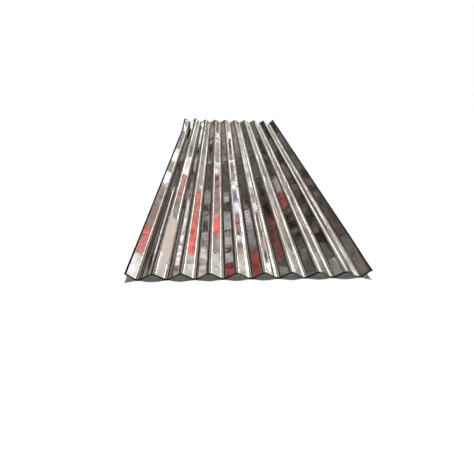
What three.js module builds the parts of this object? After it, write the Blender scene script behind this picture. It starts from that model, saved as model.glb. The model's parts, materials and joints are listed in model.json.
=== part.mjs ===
// A corrugated roofing sheet: one length of zinc-coated steel, rolled into parallel waves and sheared
// square at its ends. It lies on its valleys, with both long edges turned up so that the next sheet's
// edge can lap over them. X runs across the waves, Y along them and Z up; the origin is at the middle
// of the sheet, on the surface that it lies on. Units are millimetres.

import * as THREE from 'three';

// Driving dimensions. The radius, depth, run and rise are taken at the middle of the metal's thickness.
const LENGTH = 1830;
const PITCH = 75; // from one valley to the next
const VALLEYS = 9;
const THICKNESS = 0.5;
const WAVE_DEPTH = 18; // from a valley up to a ridge
const BEND_RADIUS = 16;
const EDGE_RUN = 32.5; // across, from an outermost valley to the sheet's edge
const EDGE_RISE = 24; // up, from a valley to the sheet's edge, which stands proud of the ridges

// A bend is faceted as two arcs with a narrow level strip between them, so that the sheet seats on
// flats and a washer has one to press on.
const LEVEL_HALF_ANGLE = THREE.MathUtils.degToRad(3.5);
const ARC_DIVISIONS = 2; // an arc gets twice as many facets as this

const COATING_COLOUR = 0xc3c6c8;

const width = (VALLEYS - 1) * PITCH + 2 * EDGE_RUN;

// The slope of the straight metal that leaves a bend and passes through a point that lies so far
// across from the bend's lowest point, and so far above it.
function tangentSlope(across, up) {
  const fromCentre = up - BEND_RADIUS;
  return Math.atan2(fromCentre, across) + Math.asin(BEND_RADIUS / Math.hypot(across, fromCentre));
}

// A wave's flank is half way up at a quarter of the pitch, because two like bends share it.
const flankSlope = tangentSlope(PITCH / 4, WAVE_DEPTH / 2);
const edgeSlope = tangentSlope(EDGE_RUN, EDGE_RISE);

// Below, offset is the height of one face of the metal over the middle of its thickness.

// Adds a bend to the waves of a face, which come in from the left at one slope and leave at another.
function addBend(waves, x, isRidge, leftSlope, rightSlope, offset) {
  const centre = isRidge ? WAVE_DEPTH - BEND_RADIUS : BEND_RADIUS;
  const radius = isRidge ? BEND_RADIUS + offset : BEND_RADIUS - offset;
  const level = isRidge ? Math.PI / 2 : -Math.PI / 2;
  const turn = isRidge ? -1 : 1;
  waves.absarc(x, centre, radius, level - turn * leftSlope, level - turn * LEVEL_HALF_ANGLE, isRidge);
  waves.absarc(x, centre, radius, level + turn * LEVEL_HALF_ANGLE, level + turn * rightSlope, isRidge);
}

// The points of one face of the section, from the sheet's left edge to its right one.
function facePoints(offset) {
  const edgeX = width / 2 - offset * Math.sin(edgeSlope);
  const edgeZ = EDGE_RISE + offset * Math.cos(edgeSlope);
  const waves = new THREE.Path();
  for (let valley = 0; valley < VALLEYS; valley++) {
    const x = (valley - (VALLEYS - 1) / 2) * PITCH;
    const leftSlope = valley === 0 ? edgeSlope : flankSlope;
    const isLast = valley === VALLEYS - 1;
    addBend(waves, x, false, leftSlope, isLast ? edgeSlope : flankSlope, offset);
    if (!isLast) addBend(waves, x + PITCH / 2, true, flankSlope, flankSlope, offset);
  }
  const leftEdge = new THREE.Vector2(-edgeX, edgeZ);
  const rightEdge = new THREE.Vector2(edgeX, edgeZ);
  return [leftEdge, ...waves.getPoints(ARC_DIVISIONS), rightEdge];
}

function corrugatedSheet() {
  const underside = facePoints(-THICKNESS / 2);
  const topside = facePoints(THICKNESS / 2);
  const section = new THREE.Shape([...underside, ...topside.reverse()]);
  const geometry = new THREE.ExtrudeGeometry(section, { depth: LENGTH, bevelEnabled: false });
  const coating = new THREE.MeshStandardMaterial({ color: COATING_COLOUR, roughness: 0.2, metalness: 1 });
  const mesh = new THREE.Mesh(geometry, coating);
  mesh.name = 'corrugated_sheet';
  // The section is turned upright, so that it runs along Y, and set down on its valleys.
  geometry.computeBoundingBox();
  mesh.rotation.x = Math.PI / 2;
  mesh.position.set(0, LENGTH / 2, -geometry.boundingBox.min.y);
  return mesh;
}

const sheet = new THREE.Group();
sheet.add(corrugatedSheet());

export default sheet;
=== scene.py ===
"""The looks of the corrugated metal sheet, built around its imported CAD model.

X runs across the waves, Y along them and Z up, with the floor at Z = 0, as in the CAD source.
Lengths are in metres and angles in degrees, unless a name says otherwise.
"""

import json
import math
from collections import namedtuple

import bpy
import numpy as np
from mathutils import Matrix, Vector


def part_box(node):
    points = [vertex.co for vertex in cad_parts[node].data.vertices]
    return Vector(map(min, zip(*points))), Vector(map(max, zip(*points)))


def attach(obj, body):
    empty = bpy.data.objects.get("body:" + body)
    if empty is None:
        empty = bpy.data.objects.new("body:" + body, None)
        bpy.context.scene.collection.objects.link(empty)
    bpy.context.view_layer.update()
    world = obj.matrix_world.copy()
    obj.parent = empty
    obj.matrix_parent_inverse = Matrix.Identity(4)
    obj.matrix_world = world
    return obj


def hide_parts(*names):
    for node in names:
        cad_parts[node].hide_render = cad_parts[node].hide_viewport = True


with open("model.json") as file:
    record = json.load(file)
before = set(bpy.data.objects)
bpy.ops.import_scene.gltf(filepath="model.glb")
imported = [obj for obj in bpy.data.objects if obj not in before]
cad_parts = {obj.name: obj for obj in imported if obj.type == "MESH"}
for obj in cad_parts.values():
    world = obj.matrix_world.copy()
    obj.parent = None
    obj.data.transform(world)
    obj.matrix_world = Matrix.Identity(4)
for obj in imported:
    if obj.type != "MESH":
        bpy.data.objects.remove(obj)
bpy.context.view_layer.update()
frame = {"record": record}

# ---- The sheet's sizes, from the frame where it gives them ----

SHEET = "corrugated_sheet"
lowest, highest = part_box(SHEET)
mounts = {mount["name"]: Vector(mount["pos_m"]) for mount in frame["record"]["mounts"]}

VALLEYS = 9
BEND_RADIUS = 0.016  # at the middle of the metal's thickness
EDGE_RUN = 0.0325  # across, from an outermost valley to the sheet's edge
LENGTH = highest.y - lowest.y
PITCH = 2 * mounts["ridge_fixing"].x
THICKNESS = mounts["end_lap"].z
WAVE_DEPTH = mounts["ridge_fixing"].z - THICKNESS
EDGE_RISE = highest.z - THICKNESS
OUTER_VALLEY = (VALLEYS - 1) / 2 * PITCH

# How finely the section and the length are divided.
BEND_STEPS = 10
FLANK_STEPS = 2
EDGE_STEPS = 7
STRAIGHT_END = 0.02  # the share of a straight's length at each end that takes up the turn of its shading
STATIONS = 190
SHARP_ANGLE = 40  # edges that turn by more than this are shaded as sharp
SQUARE_SHARE = 0.49  # of the baked square's width, for each of the sheet's two faces

# ---- What the photograph shows of this one sheet's shape ----

RIPPLES = 14  # long, shallow waves that thin rolled stock always has
RIPPLE_LENGTHS = (0.07, 0.5)
RIPPLE_STEEPNESS = 0.00028  # each ripple's height as a share of its length
RIPPLE_HEADING = 0.7  # the most, in radians, that a ripple runs off the sheet's length
RIPPLE_SEED = 11
LEFT_EDGE_LIFT, RIGHT_EDGE_LIFT = -0.0009, 0.0014  # how far the edges stand above their true place

# Places where the metal is knocked or bowed: at x and y, how far it moves across and up, and how far
# from there the move reaches.
Knock = namedtuple("Knock", "x y across up reach_x reach_y")
KNOCKS = (
    Knock(-OUTER_VALLEY - EDGE_RUN, LENGTH / 2, -0.014, 0, 0.09, 0.4),
    Knock(-OUTER_VALLEY - EDGE_RUN / 2, LENGTH / 2, 0, 0.009, 0.02, 0.04),
    Knock(-OUTER_VALLEY + PITCH / 2 + 0.004, LENGTH / 2, 0, 0.008, 0.02, 0.04),
    Knock(-OUTER_VALLEY + PITCH / 4, -0.6, 0, 0.0009, 0.012, 0.9),
    Knock(OUTER_VALLEY + EDGE_RUN, -LENGTH / 2 + 0.05, 0, -0.0015, 0.007, 0.1),
)

# ---- The metal's finish ----

# Noises in it: the features to a metre across the sheet and along it, the detail, and a shift that
# sets each apart from the others.
ROLL_LINES = ((240, 0.7), 2, 0)
FINE_LINES = ((900, 3), 2, 5)
WAVES = ((9, 13), 3, 9)
DENTS = ((40, 40), 3, 14)
STAINS = ((9, 6), 6, 21)

# The coating, and the dull patches that it has in places. Here and below, a pair that is called a
# rise is the range of a noise over which what it drives goes from none to all.
COATING_TONES = ((0.68, 0.685, 0.68), (0.82, 0.825, 0.83))
COATING_ROUGHNESS = (0.02, 0.05)
COATING_RISE = (0.3, 0.7)
DULL_RISE = (0.52, 0.68)
DULL_TONE = (0.6, 0.585, 0.56)
DULL_STRENGTH = 0.6  # how far the tone goes to the dull one
DULL_ROUGHNESS = 0.06

# The heights of the bumps that are too small for the mesh.
WAVE_BUMP = 0.0003
DENT_BUMP = 0.00006
ROLL_LINE_BUMP = 0.00004
FINE_LINE_BUMP = 0.000008

# Painted shade: a dark strip along the cut edges that stands in for the shadowed gap under them. Its widths
# at the near end and at the far one.
EDGE_SHADE_WIDTHS = (0.0045, 0.009)
EDGE_SHADE_SOFTNESS = 0.0015
EDGE_SHADE_TONE = (0.015, 0.014, 0.013)
EDGE_SHADE_ROUGHNESS = 0.7

# A wave's flank, with the bends beside it, that is rubbed dull along a part of its length.
SCUFF_X = -OUTER_VALLEY + 3 / 4 * PITCH
SCUFF_WIDTH = 0.045
SCUFF_FROM, SCUFF_TO = -0.83, -0.58
SCUFF_SOFTNESS = 0.003  # of its sides and its near end
SCUFF_FAR_SOFTNESS = 0.015
SCUFF_SIDE_WANDER, SCUFF_END_WANDER = 0.012, 0.144  # how ragged its outline is
SCUFF_REMNANT = 0.1  # how strong it still is in front of its near end
SCUFF_TONE = (0.76, 0.725, 0.68)
SCUFF_ROUGHNESS = 0.4

# ---- The photograph's view ----

CAMERA_PLACE = Vector((-0.083, -1.535, 0.543))
CAMERA_YAW = 3.86  # from the sheet's length towards +X
CAMERA_PITCH = 33.17  # below the horizon
CAMERA_ROLL = 1.74
FOCAL_PIXELS = 302.9
IMAGE_PIXELS = 474
SENSOR_WIDTH_MM = 36

# ---- The studio ----

FLOOR_WIDTH = 200
FLOOR_DROP = 0.0002  # keeps the floor clear of the metal that lies on it
FLOOR_PAINT = 0.96
FLOOR_GLOW = 0.04  # brings the paint up to the background's white, and leaves the shadow
FLOOR_WHITE_FROM, FLOOR_WHITE_TO = 1.6, 3.5  # distances from the sheet's middle
FILL_LIGHT = 0.1

# The lamp that throws the sheet's shadow forwards. The metal doesn't show it.
BACK_LAMP_DISTANCE = 60
BACK_LAMP_WIDTH = 10
BACK_LAMP_TURN, BACK_LAMP_OFF_AXIS = 4, 72
BACK_LAMP_LIGHT = 0.96  # what it adds to the fill light, at the sheet

# The metal mirrors a dome of cards. A place on it is its turn round the sheet's length, from straight
# up towards +X, and its angle off +Y. A flank keeps one turn all along, and its near end looks further
# off +Y than its far end.
DOME_RADIUS = 200
PANEL_RADIUS = 190
CARD_STEP = 4  # the longest side, in degrees, of a card's faces
ALL_ROUND = (1, 179)
GLOW_RANGE = (0.4, 1.3)  # the least and the most of its colour that a panel shows
GLOW_RISE = (0.34, 0.6)

# Noises on the cards, given as the metal's are, but with their features to a degree.
GLOW_CLOUDS = ((0.5, 1.2), 6)
WANDER = ((0.25, 0.6), 4)
HUES = ((0.3, 0.7), 3, 60)

# A wall is a patchwork of large patches, small ones and clouds, between a dark tone and a light one.
# Its large patches' size is in degrees, as a turn and as an angle off +Y.
SMALL_PATCH = 0.37  # of the large one's size
LARGE_WEIGHT, SMALL_WEIGHT, CLOUD_WEIGHT = 0.45, 0.25, 0.9
ALL_DARK, ALL_LIGHT = 0.58, 1.04  # the weighted sums that give wholly one tone or the other
CLOUDS_TO_A_PATCH, CLOUD_DETAIL, CLOUD_SHIFT = 2.5, 6, 40
PATCH_WANDER = (8, 3, 0)  # degrees between the furthest strays of the patches' sides
PATCH_RANDOMNESS = 0.8
WARM_HUE, COOL_HUE = (1.06, 0.98, 0.96), (0.97, 1.005, 0.97)
HUE_RISE = (0.4, 0.6)

Wall = namedtuple("Wall", "name turns dark light patch")
WALLS = (
    Wall("overhead", (-13.5, 42), (0.2, 0.18, 0.155), (0.54, 0.51, 0.465), (16, 5)),
    Wall("dark_ceiling", (-32.5, -13.5), (0.003, 0.002, 0.002), (0.035, 0.02, 0.018), (9, 2)),
    Wall("left_ceiling", (-52, -32.5), (0.01, 0.008, 0.006), (0.23, 0.205, 0.185), (6, 1.2)),
    Wall("left_upper", (-66, -52), (0.025, 0.018, 0.015), (0.43, 0.385, 0.35), (8, 1.3)),
    Wall("left_lower", (-96, -66), (0.03, 0.024, 0.02), (0.58, 0.54, 0.5), (8, 1.3)),
    Wall("right_upper", (42, 68), (0.15, 0.138, 0.125), (0.64, 0.6, 0.555), (9, 1.6)),
    Wall("right_middle", (68, 84), (0.09, 0.082, 0.068), (0.6, 0.555, 0.51), (9, 1.4)),
    Wall("right_lower", (84, 104), (0.4, 0.37, 0.33), (0.85, 0.79, 0.72), (12, 3)),
)

BRIGHT = (9.5, 9.2, 8.5)
WHITE = (1.5, 1.47, 1.45)
WARM_WHITE = (1.25, 1.15, 1.05)
PINK_WHITE = (1.15, 0.98, 0.95)
COOL_WHITE = (1.5, 1.75, 1.8)
LILAC = (1.05, 0.98, 1.2)
BLUE_GREY = (0.25, 0.27, 0.4)
CREAM = (1.15, 1.0, 0.85)
PALE_GREY = (0.8, 0.76, 0.72)
GREY = (0.55, 0.51, 0.5)
DIM_GREY = (0.28, 0.26, 0.24)
BEIGE = (0.4, 0.36, 0.32)
DARK = (0.135, 0.115, 0.1)
RED = (1.18, 0.25, 0.23)
PINK = (0.85, 0.27, 0.25)
DULL_RED = (0.45, 0.13, 0.12)
SALMON = (0.62, 0.35, 0.32)
MAUVE = (0.47, 0.3, 0.3)
DARK_RED = (0.38, 0.07, 0.065)
MAROON = (0.24, 0.085, 0.075)

Panel = namedtuple("Panel", "colour turns off_axes")
PANELS = (
    # A long soft box in line with the sheet, which every bend shows as a bright line.
    Panel(BRIGHT, (40.8, 43), ALL_ROUND),
    # Rows of roof lights, which flanks show as finer lines, by way of the ridge beside them.
    Panel(WHITE, (27.4, 28.1), ALL_ROUND),
    Panel(WHITE, (20.9, 21.5), ALL_ROUND),
    # What the turned-up left edge shows.
    Panel(WHITE, (57, 60.6), (10.5, 13)),
    Panel(WHITE, (57, 60.4), (18.8, 20.4)),
    Panel(COOL_WHITE, (57, 60.4), (23.2, 24.7)),
    Panel(BEIGE, (57, 60.4), (25, 33)),
    Panel(PINK, (57, 60.4), (33.2, 38.4)),
    Panel(WHITE, (57, 60.4), (39, 45)),
    # What the flanks that face right show, from the left one.
    Panel(WARM_WHITE, (43, 52), (18.7, 22.3)),
    Panel(SALMON, (43, 52), (22.4, 28)),
    Panel(BEIGE, (43, 52), (28.2, 30.8)),
    Panel(CREAM, (43, 52), (31, 36.8)),
    Panel(PALE_GREY, (43, 57), (36.8, 45)),
    Panel(PINK, (53.4, 57), (25, 28.6)),
    Panel(RED, (53.4, 56.8), (29.4, 36.5)),
    Panel(WHITE, (60.6, 76), (14.4, 15.4)),
    Panel(WHITE, (60.6, 68), (19.7, 20.9)),
    Panel(WHITE, (68, 76), (19.3, 19.9)),
    Panel(DULL_RED, (60.6, 65.5), (21, 22.5)),
    Panel(MAUVE, (60.6, 65.5), (23.2, 28)),
    Panel(RED, (60.6, 65.5), (29.3, 32.5)),
    Panel(PALE_GREY, (60.6, 76), (36.4, 45)),
    Panel(COOL_WHITE, (68, 84), (23.2, 24.5)),
    Panel(BLUE_GREY, (68, 76), (24.8, 27.3)),
    Panel(LILAC, (68, 84), (27.5, 29.5)),
    Panel(MAUVE, (68, 76), (29.7, 32.6)),
    Panel(WHITE, (68, 76), (33.3, 34)),
    Panel(PALE_GREY, (76.5, 82), (14.6, 21.6)),
    Panel(WHITE, (77, 82), (39.4, 45)),
    # What the flanks that face left show, from the left one.
    Panel(WHITE, (-90, -73), (13.1, 16.2)),
    Panel(WHITE, (-90, -78.7), (25, 38)),
    Panel(PALE_GREY, (-78.7, -74), (27, 34.8)),
    Panel(PINK_WHITE, (-78.7, -74), (35.3, 40)),
    Panel(PALE_GREY, (-74, -66), (35.2, 38.4)),
    Panel(PALE_GREY, (-74, -66), (39.4, 45)),
    Panel(DARK, (-74, -52.4), (20, 24.8)),
    Panel(GREY, (-66, -58), (25.6, 27.3)),
    Panel(GREY, (-66, -52.4), (29, 31.8)),
    Panel(GREY, (-66, -58), (32.5, 34.7)),
    Panel(GREY, (-66, -58), (36, 38.5)),
    Panel(DARK_RED, (-64, -60.4), (38.8, 45)),
    Panel(DIM_GREY, (-58, -52.4), (32.3, 35.8)),
    Panel(DARK_RED, (-56, -52.4), (36.4, 45)),
    Panel(MAROON, (-47.6, -44.4), (31, 39.4)),
    Panel(DIM_GREY, (-47.6, -44.4), (40.8, 45)),
    Panel(BEIGE, (-42, -37), (24.4, 27)),
    Panel(DARK_RED, (-42, -37), (27.4, 29.5)),
    Panel(BEIGE, (-35.5, -31), (42, 47)),
)


def tangent_slope(across, up):
    """The slope, in radians, of the straight metal that leaves a bend and passes through a point.

    The point lies so far across from the bend's lowest point, and so far above it.
    """
    from_centre = up - BEND_RADIUS
    return math.atan2(from_centre, across) + math.asin(BEND_RADIUS / math.hypot(across, from_centre))


FLANK_SLOPE = tangent_slope(PITCH / 4, WAVE_DEPTH / 2)
EDGE_SLOPE = tangent_slope(EDGE_RUN, EDGE_RISE)


# ---- The sheet's mesh ----


def section():
    """The middle of the metal's thickness, from the left edge to the right one.

    Returns its points (x, z), the slope at each in radians, and the distance along the metal to each.
    """
    edge_x = OUTER_VALLEY + EDGE_RUN
    points, slopes = [(-edge_x, EDGE_RISE)], [-EDGE_SLOPE]

    def go_straight(point, slope):
        start = np.array(points[-1])
        steps = EDGE_STEPS if abs(slope) == EDGE_SLOPE else FLANK_STEPS
        for share in (*np.linspace(STRAIGHT_END, 1 - STRAIGHT_END, steps + 1), 1):
            points.append(tuple(start + (np.array(point) - start) * share))
            slopes.append(slope)

    def go_round(x, is_ridge, slope_in, slope_out):
        centre = WAVE_DEPTH - BEND_RADIUS if is_ridge else BEND_RADIUS
        side = 1 if is_ridge else -1
        for slope in np.linspace(slope_in, slope_out, BEND_STEPS + 1):
            out, up = BEND_RADIUS * math.sin(slope), BEND_RADIUS * math.cos(slope)
            point = (x - side * out, centre + side * up)
            if slope == slope_in:
                go_straight(point, slope)
            else:
                points.append(point)
                slopes.append(slope)

    for valley in range(VALLEYS):
        x = valley * PITCH - OUTER_VALLEY
        is_last = valley == VALLEYS - 1
        slope_in = EDGE_SLOPE if valley == 0 else FLANK_SLOPE
        go_round(x, False, -slope_in, EDGE_SLOPE if is_last else FLANK_SLOPE)
        if not is_last:
            go_round(x + PITCH / 2, True, FLANK_SLOPE, -FLANK_SLOPE)
    go_straight((edge_x, EDGE_RISE), EDGE_SLOPE)

    points = np.array(points) + (0, THICKNESS / 2)
    steps = np.hypot(*np.diff(points, axis=0).T)
    return points, np.array(slopes), np.concatenate(([0], np.cumsum(steps)))


def smooth_step(value):
    value = np.clip(value, 0, 1)
    return value * value * (3 - 2 * value)


def out_of_place(x, y):
    """How far the metal stands to the right of its true place, and above it."""
    random = np.random.default_rng(RIPPLE_SEED)
    ripples = np.zeros_like(x)
    for _ in range(RIPPLES):
        length = random.uniform(*RIPPLE_LENGTHS)
        heading = random.uniform(-RIPPLE_HEADING, RIPPLE_HEADING)
        phase = random.uniform(0, 2 * math.pi)
        along = (y * math.cos(heading) + x * math.sin(heading)) / length
        ripples += np.sin(2 * math.pi * along + phase) * length * RIPPLE_STEEPNESS
    moved, raised = np.zeros_like(x), ripples - ripples.min()
    for side, edge_lift in ((-1, LEFT_EDGE_LIFT), (1, RIGHT_EDGE_LIFT)):
        raised += edge_lift * np.clip((side * x - OUTER_VALLEY) / EDGE_RUN, 0, 1)
    for knock in KNOCKS:
        away = np.hypot((x - knock.x) / knock.reach_x, (y - knock.y) / knock.reach_y)
        moved += knock.across * smooth_step(1 - away)
        raised += knock.up * smooth_step(1 - away)
    return moved, raised


def sheet_mesh():
    points, slopes, across = section()
    along = np.linspace(-LENGTH / 2, LENGTH / 2, STATIONS + 1)
    shape = (len(along), len(points))
    y = np.broadcast_to(along[:, None], shape)
    moved, raised = out_of_place(np.broadcast_to(points[:, 0], shape), y)
    sides = []
    for side in (1, -1):
        x = points[:, 0] - side * THICKNESS / 2 * np.sin(slopes)
        z = points[:, 1] + side * THICKNESS / 2 * np.cos(slopes)
        sides.append(np.stack((x + moved, y, z + raised), axis=-1).reshape(-1, 3))
    count = len(sides[0])

    index = np.arange(count).reshape(shape)
    corners = (index[:-1, :-1], index[:-1, 1:], index[1:, 1:], index[1:, :-1])
    top = np.stack(corners, axis=-1).reshape(-1, 4)
    rim = np.concatenate((index[0, :-1], index[:-1, -1], index[-1, :0:-1], index[:0:-1, 0]))
    after = np.roll(rim, -1)
    cut_edges = np.stack((rim, rim + count, after + count, after), axis=-1)
    faces = np.concatenate((top, top[:, ::-1] + count, cut_edges))

    mesh = bpy.data.meshes.new("finished_sheet")
    mesh.from_pydata(np.concatenate(sides).tolist(), [], faces.tolist())
    unrolled = np.stack((np.broadcast_to(across, shape), y), axis=-1).reshape(-1, 2)
    add_uv_map(mesh, "unrolled", unrolled[faces.ravel() % count])
    add_uv_map(mesh, "OFBake", places_on_square(faces, count, shape, unrolled))
    mesh.shade_smooth()
    mesh.set_sharp_from_angle(angle=math.radians(SHARP_ANGLE))
    return mesh


def places_on_square(faces, count, shape, unrolled):
    """Lays the sheet out on the unit square: its two faces side by side, and its cut edges between them."""
    across = unrolled[:, 0] / unrolled[:, 0].max()
    along = unrolled[:, 1] / LENGTH + 0.5
    vertex = faces % count
    places = np.stack((across[vertex], along[vertex]), axis=-1)
    rows, columns = (size - 1 for size in shape)
    face_count = rows * columns
    places[:, :, 0] *= SQUARE_SHARE
    places[face_count : 2 * face_count, :, 0] += 1 - SQUARE_SHARE
    gap = (1 - 2 * SQUARE_SHARE) / 4  # each cut edge has a strip of the gap between the two faces
    runs_across = np.repeat((True, False, True, False), (columns, rows, columns, rows))
    strip = np.repeat((0, 1, 2, 3), (columns, rows, columns, rows))
    corners = vertex[2 * face_count :]
    is_under = faces[2 * face_count :] >= count
    places[2 * face_count :, :, 0] = SQUARE_SHARE + gap * (strip[:, None] + 0.25 + 0.5 * is_under)
    places[2 * face_count :, :, 1] = np.where(runs_across[:, None], across[corners], along[corners])
    return places


def add_uv_map(mesh, name, places):
    mesh.uv_layers.new(name=name).uv.foreach_set("vector", places.astype(np.float32).ravel())


# ---- Materials ----


def empty_material(name):
    material = bpy.data.materials.new(name)
    material.use_nodes = True
    material.node_tree.nodes.clear()
    return material, material.node_tree


def node(tree, kind, sockets=None, **settings):
    """Adds a node. sockets maps an input's name or number to a value, or to another node's output."""
    made = tree.nodes.new(kind)
    for name, value in settings.items():
        setattr(made, name, value)
    for name, value in (sockets or {}).items():
        if isinstance(value, bpy.types.NodeSocket):
            tree.links.new(value, made.inputs[name])
        else:
            made.inputs[name].default_value = value
    return made


def ramp(tree, value, start, end, low=0.0, high=1.0):
    """Turns start..end of a value into low..high, with soft ends, and keeps to that range."""
    sockets = {"Value": value, "From Min": start, "From Max": end, "To Min": low, "To Max": high}
    return node(tree, "ShaderNodeMapRange", sockets, interpolation_type="SMOOTHSTEP").outputs["Result"]


def maths(tree, operation, a, b=0.0):
    return node(tree, "ShaderNodeMath", {0: a, 1: b}, operation=operation).outputs[0]


def vector_maths(tree, operation, a, b):
    return node(tree, "ShaderNodeVectorMath", {0: a, 1: b}, operation=operation).outputs[0]


def blend_colours(tree, share, first, second):
    """Goes from the first colour to the second. Either may be another node's output."""
    first, second = (c if isinstance(c, bpy.types.NodeSocket) else (*c, 1) for c in (first, second))
    return node(tree, "ShaderNodeMix", {"Factor": share, 6: first, 7: second}, data_type="RGBA").outputs[2]


def stretched_noise(tree, place, scale, detail, shift=0):
    """Soft noise, with so many features to a unit each way. The shift sets it apart from others."""
    sockets = {"Vector": place, "Scale": (*scale, 1), "Location": (shift, shift, 0)}
    moved = node(tree, "ShaderNodeMapping", sockets).outputs[0]
    sockets = {"Vector": moved, "Scale": 1, "Detail": detail}
    return node(tree, "ShaderNodeTexNoise", sockets, noise_dimensions="2D")


def scuff(tree, across, along, noise):
    """How strong the scuff is at each place on the metal."""

    def stray(value, wander):
        off_middle = maths(tree, "SUBTRACT", noise, 0.5)
        return maths(tree, "ADD", value, maths(tree, "MULTIPLY", off_middle, wander))

    points, _, distances = section()
    middle = np.interp(SCUFF_X, points[:, 0], distances)
    from_middle = maths(tree, "ABSOLUTE", maths(tree, "SUBTRACT", across, middle))
    from_middle = stray(from_middle, SCUFF_SIDE_WANDER)
    along = stray(along, SCUFF_END_WANDER)
    half = SCUFF_WIDTH / 2
    sides = ramp(tree, from_middle, half - SCUFF_SOFTNESS, half, 1, 0)
    near_end = ramp(tree, along, SCUFF_FROM, SCUFF_FROM + SCUFF_SOFTNESS, SCUFF_REMNANT)
    far_end = ramp(tree, along, SCUFF_TO - SCUFF_FAR_SOFTNESS, SCUFF_TO, 1, 0)
    return maths(tree, "MULTIPLY", maths(tree, "MULTIPLY", sides, near_end), far_end)


def painted_edge_shade(tree, across, along):
    """How strong the painted shade along the cut edges is at each place on the metal: a dark strip for the
    shadowed gap under them.
    """
    _, _, distances = section()
    width = distances[-1]
    from_middle = maths(tree, "ABSOLUTE", maths(tree, "SUBTRACT", across, width / 2))
    from_side = maths(tree, "SUBTRACT", width / 2, from_middle)
    from_end = maths(tree, "SUBTRACT", LENGTH / 2, maths(tree, "ABSOLUTE", along))
    from_edge = maths(tree, "MINIMUM", from_side, from_end)
    strip_width = ramp(tree, along, -LENGTH / 2, LENGTH / 2, *EDGE_SHADE_WIDTHS)
    from_strip = maths(tree, "SUBTRACT", from_edge, strip_width)
    return ramp(tree, from_strip, 0, EDGE_SHADE_SOFTNESS, 1, 0)


def coated_steel():
    material, tree = empty_material("coated_steel")
    place = node(tree, "ShaderNodeUVMap", uv_map="unrolled").outputs["UV"]
    across, along, _ = node(tree, "ShaderNodeSeparateXYZ", {"Vector": place}).outputs

    roll_lines, fine_lines, waves, dents, stains = (
        stretched_noise(tree, place, *noise).outputs["Fac"]
        for noise in (ROLL_LINES, FINE_LINES, WAVES, DENTS, STAINS)
    )

    scuffed = scuff(tree, across, along, dents)
    edge_shade = painted_edge_shade(tree, across, along)
    dull = ramp(tree, stains, *DULL_RISE)

    tone = blend_colours(tree, roll_lines, *COATING_TONES)
    tone = blend_colours(tree, maths(tree, "MULTIPLY", dull, DULL_STRENGTH), tone, DULL_TONE)
    tone = blend_colours(tree, scuffed, tone, SCUFF_TONE)
    # The dark strip along the cut edges is painted shade, not a colour of the metal.
    tone = blend_colours(tree, edge_shade, tone, EDGE_SHADE_TONE)

    roughness = ramp(tree, fine_lines, *COATING_RISE, *COATING_ROUGHNESS)
    for strength, added in (
        (dull, DULL_ROUGHNESS),
        (edge_shade, EDGE_SHADE_ROUGHNESS),
        (scuffed, SCUFF_ROUGHNESS),
    ):
        roughness = maths(tree, "ADD", roughness, maths(tree, "MULTIPLY", strength, added))

    normal = None
    for height, distance in (
        (waves, WAVE_BUMP),
        (dents, DENT_BUMP),
        (roll_lines, ROLL_LINE_BUMP),
        (fine_lines, FINE_LINE_BUMP),
    ):
        sockets = {"Height": height, "Distance": distance}
        if normal is not None:
            sockets["Normal"] = normal
        normal = node(tree, "ShaderNodeBump", sockets).outputs[0]

    surface = {"Base Color": tone, "Metallic": 1, "Roughness": roughness, "Normal": normal}
    shader = node(tree, "ShaderNodeBsdfPrincipled", surface)
    node(tree, "ShaderNodeOutputMaterial", {"Surface": shader.outputs[0]})
    return material


def glowing(name, colour):
    """A panel's material, which shows in the metal as its colour, a little uneven."""
    material, tree = empty_material(name)
    degrees = node(tree, "ShaderNodeUVMap", uv_map="degrees").outputs["UV"]
    cloud = stretched_noise(tree, degrees, *GLOW_CLOUDS).outputs["Fac"]
    strength = ramp(tree, cloud, *GLOW_RISE, *GLOW_RANGE)
    glow = node(tree, "ShaderNodeEmission", {"Color": (*colour, 1), "Strength": strength})
    node(tree, "ShaderNodeOutputMaterial", {"Surface": glow.outputs[0]})
    return material


def patchwork(wall):
    """A wall's material: large and small patches of tones between its dark one and its light one."""
    material, tree = empty_material(wall.name)
    degrees = node(tree, "ShaderNodeUVMap", uv_map="degrees").outputs["UV"]
    wander = stretched_noise(tree, degrees, *WANDER).outputs["Color"]
    wander = vector_maths(tree, "SUBTRACT", wander, (0.5, 0.5, 0.5))
    wander = vector_maths(tree, "MULTIPLY", wander, PATCH_WANDER)
    place = vector_maths(tree, "ADD", degrees, wander)

    def patches(size):
        scaled = node(tree, "ShaderNodeMapping", {"Vector": place, "Scale": (*(1 / s for s in size), 1)})
        sockets = {"Vector": scaled.outputs[0], "Scale": 1, "Randomness": PATCH_RANDOMNESS}
        cells = node(tree, "ShaderNodeTexVoronoi", sockets, distance="CHEBYCHEV", voronoi_dimensions="2D")
        return node(tree, "ShaderNodeSeparateColor", {"Color": cells.outputs["Color"]}).outputs[0]

    clouds = [CLOUDS_TO_A_PATCH / size for size in wall.patch]
    cloud = stretched_noise(tree, place, clouds, CLOUD_DETAIL, CLOUD_SHIFT).outputs["Fac"]
    large = patches(wall.patch)
    small = patches([size * SMALL_PATCH for size in wall.patch])
    share = 0
    for part, weight in ((large, LARGE_WEIGHT), (small, SMALL_WEIGHT), (cloud, CLOUD_WEIGHT)):
        share = maths(tree, "ADD", maths(tree, "MULTIPLY", part, weight), share)
    share = ramp(tree, share, ALL_DARK, ALL_LIGHT)
    tone = blend_colours(tree, share, wall.dark, wall.light)
    hue = stretched_noise(tree, place, *HUES).outputs["Fac"]
    hue = blend_colours(tree, ramp(tree, hue, *HUE_RISE), WARM_HUE, COOL_HUE)
    sockets = {"Factor": 1, 6: tone, 7: hue}
    tone = node(tree, "ShaderNodeMix", sockets, data_type="RGBA", blend_type="MULTIPLY").outputs[2]
    glow = node(tree, "ShaderNodeEmission", {"Color": tone})
    node(tree, "ShaderNodeOutputMaterial", {"Surface": glow.outputs[0]})
    return material


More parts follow.
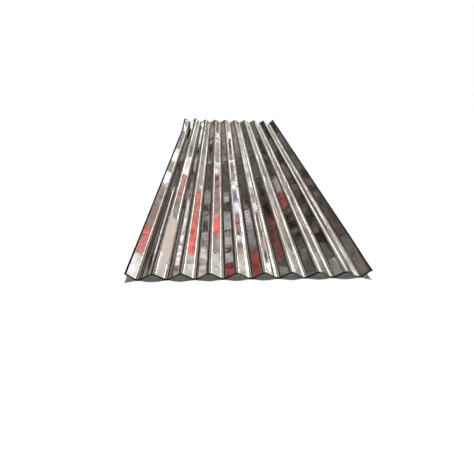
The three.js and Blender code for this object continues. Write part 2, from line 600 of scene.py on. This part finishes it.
def floor_paint():
    """Pale paint with the sheet's shadow near it, and plain white further off, as the background is."""
    material, tree = empty_material("floor")
    place = node(tree, "ShaderNodeTexCoord").outputs["Object"]
    distance = node(tree, "ShaderNodeVectorMath", {0: place}, operation="LENGTH").outputs["Value"]
    paint = node(tree, "ShaderNodeBsdfDiffuse", {"Color": (FLOOR_PAINT, FLOOR_PAINT, FLOOR_PAINT, 1)})
    glow = node(tree, "ShaderNodeEmission", {"Color": (1, 1, 1, 1), "Strength": FLOOR_GLOW})
    near = node(tree, "ShaderNodeAddShader", {0: paint.outputs[0], 1: glow.outputs[0]})
    white = node(tree, "ShaderNodeEmission", {"Color": (1, 1, 1, 1), "Strength": 1})
    share = ramp(tree, distance, FLOOR_WHITE_FROM, FLOOR_WHITE_TO)
    seen = node(tree, "ShaderNodeMixShader", {0: share, 1: near.outputs[0], 2: white.outputs[0]})
    is_diffuse = node(tree, "ShaderNodeLightPath").outputs["Is Diffuse Ray"]
    mixed = node(tree, "ShaderNodeMixShader", {0: is_diffuse, 1: seen.outputs[0], 2: paint.outputs[0]})
    node(tree, "ShaderNodeOutputMaterial", {"Surface": mixed.outputs[0]})
    return material


# ---- Things in the scene ----


def add_object(name, data, material=None):
    made = bpy.data.objects.new(name, data)
    bpy.context.scene.collection.objects.link(made)
    if material:
        data.materials.append(material)
    return made


def add_sheet():
    sheet = add_object("finished_sheet", sheet_mesh(), coated_steel())
    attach(sheet, "root")
    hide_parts(SHEET)


def add_camera():
    yaw, pitch, roll = (math.radians(angle) for angle in (CAMERA_YAW, CAMERA_PITCH, CAMERA_ROLL))
    ahead = Vector((math.sin(yaw) * math.cos(pitch), math.cos(yaw) * math.cos(pitch), -math.sin(pitch)))
    level_right = ahead.cross(Vector((0, 0, 1))).normalized()
    level_up = level_right.cross(ahead)
    right = math.cos(roll) * level_right + math.sin(roll) * level_up
    up = math.cos(roll) * level_up - math.sin(roll) * level_right
    camera = add_object("camera", bpy.data.cameras.new("camera"))
    camera.data.sensor_width = SENSOR_WIDTH_MM
    camera.data.lens = FOCAL_PIXELS / IMAGE_PIXELS * SENSOR_WIDTH_MM
    turned = Matrix((right, up, -ahead)).transposed().to_4x4()
    camera.matrix_world = Matrix.Translation(CAMERA_PLACE) @ turned
    bpy.context.scene.camera = camera


def around_sheet(turn, off_axis):
    """The direction of a place on the dome."""
    turn, off_axis = math.radians(turn), math.radians(off_axis)
    away = math.sin(off_axis)
    return Vector((away * math.sin(turn), math.cos(off_axis), away * math.cos(turn)))


def add_card(name, turns, off_axes, radius, material):
    """A card on the dome, between two turns and two angles off +Y. Only the metal shows it."""
    turn_count, off_count = (math.ceil(abs(b - a) / CARD_STEP) for a, b in (turns, off_axes))
    grid = [
        (turn, off_axis)
        for off_axis in np.linspace(*off_axes, off_count + 1)
        for turn in np.linspace(*turns, turn_count + 1)
    ]
    starts = [row * (turn_count + 1) + column for row in range(off_count) for column in range(turn_count)]
    faces = [(i, i + 1, i + turn_count + 2, i + turn_count + 1) for i in starts]
    mesh = bpy.data.meshes.new(name)
    mesh.from_pydata([around_sheet(*place) * radius for place in grid], [], faces)
    add_uv_map(mesh, "degrees", np.array(grid)[np.array(faces).ravel()])
    card = add_object(name, mesh, material)
    card.visible_camera = False
    card.visible_diffuse = False
    card.visible_shadow = False


def add_dome():
    for wall in WALLS:
        add_card(wall.name, wall.turns, ALL_ROUND, DOME_RADIUS, patchwork(wall))
    for number, panel in enumerate(PANELS, 1):
        name = f"panel_{number}"
        add_card(name, panel.turns, panel.off_axes, PANEL_RADIUS, glowing(name, panel.colour))


def add_back_lamp():
    """A square soft box that faces the sheet."""
    lamp = add_object("back_lamp", bpy.data.lights.new("back_lamp", "AREA"))
    away = around_sheet(BACK_LAMP_TURN, BACK_LAMP_OFF_AXIS)
    solid_angle = BACK_LAMP_WIDTH**2 / BACK_LAMP_DISTANCE**2
    radiance = BACK_LAMP_LIGHT * math.pi / solid_angle / away.z
    lamp.data.size = BACK_LAMP_WIDTH
    lamp.data.energy = radiance * BACK_LAMP_WIDTH**2 * math.pi
    across = Vector((0, 1, 0)).cross(away).normalized()
    turned = Matrix((across, away.cross(across), away)).transposed().to_4x4()
    lamp.matrix_world = Matrix.Translation(away * BACK_LAMP_DISTANCE) @ turned
    lamp.visible_glossy = False


def add_floor():
    half = FLOOR_WIDTH / 2
    corners = [(x, y, -FLOOR_DROP) for x, y in ((-half, -half), (half, -half), (half, half), (-half, half))]
    mesh = bpy.data.meshes.new("floor")
    mesh.from_pydata(corners, [], [(0, 1, 2, 3)])
    add_object("floor", mesh, floor_paint())


def add_world():
    """White wherever it is seen, itself or in the metal, and a plain fill light on everything."""
    world = bpy.data.worlds.new("studio")
    world.use_nodes = True
    tree = world.node_tree
    tree.nodes.clear()
    path = node(tree, "ShaderNodeLightPath").outputs
    seen = maths(tree, "MAXIMUM", path["Is Camera Ray"], path["Is Glossy Ray"])
    seen = maths(tree, "MAXIMUM", seen, path["Is Transmission Ray"])
    strength = ramp(tree, seen, 0, 1, FILL_LIGHT, 1)
    background = node(tree, "ShaderNodeBackground", {"Color": (1, 1, 1, 1), "Strength": strength})
    node(tree, "ShaderNodeOutputWorld", {"Surface": background.outputs[0]})
    bpy.context.scene.world = world


add_sheet()
add_camera()
add_floor()
add_world()
add_back_lamp()
add_dome()
bpy.context.scene.view_settings.view_transform = "Standard"
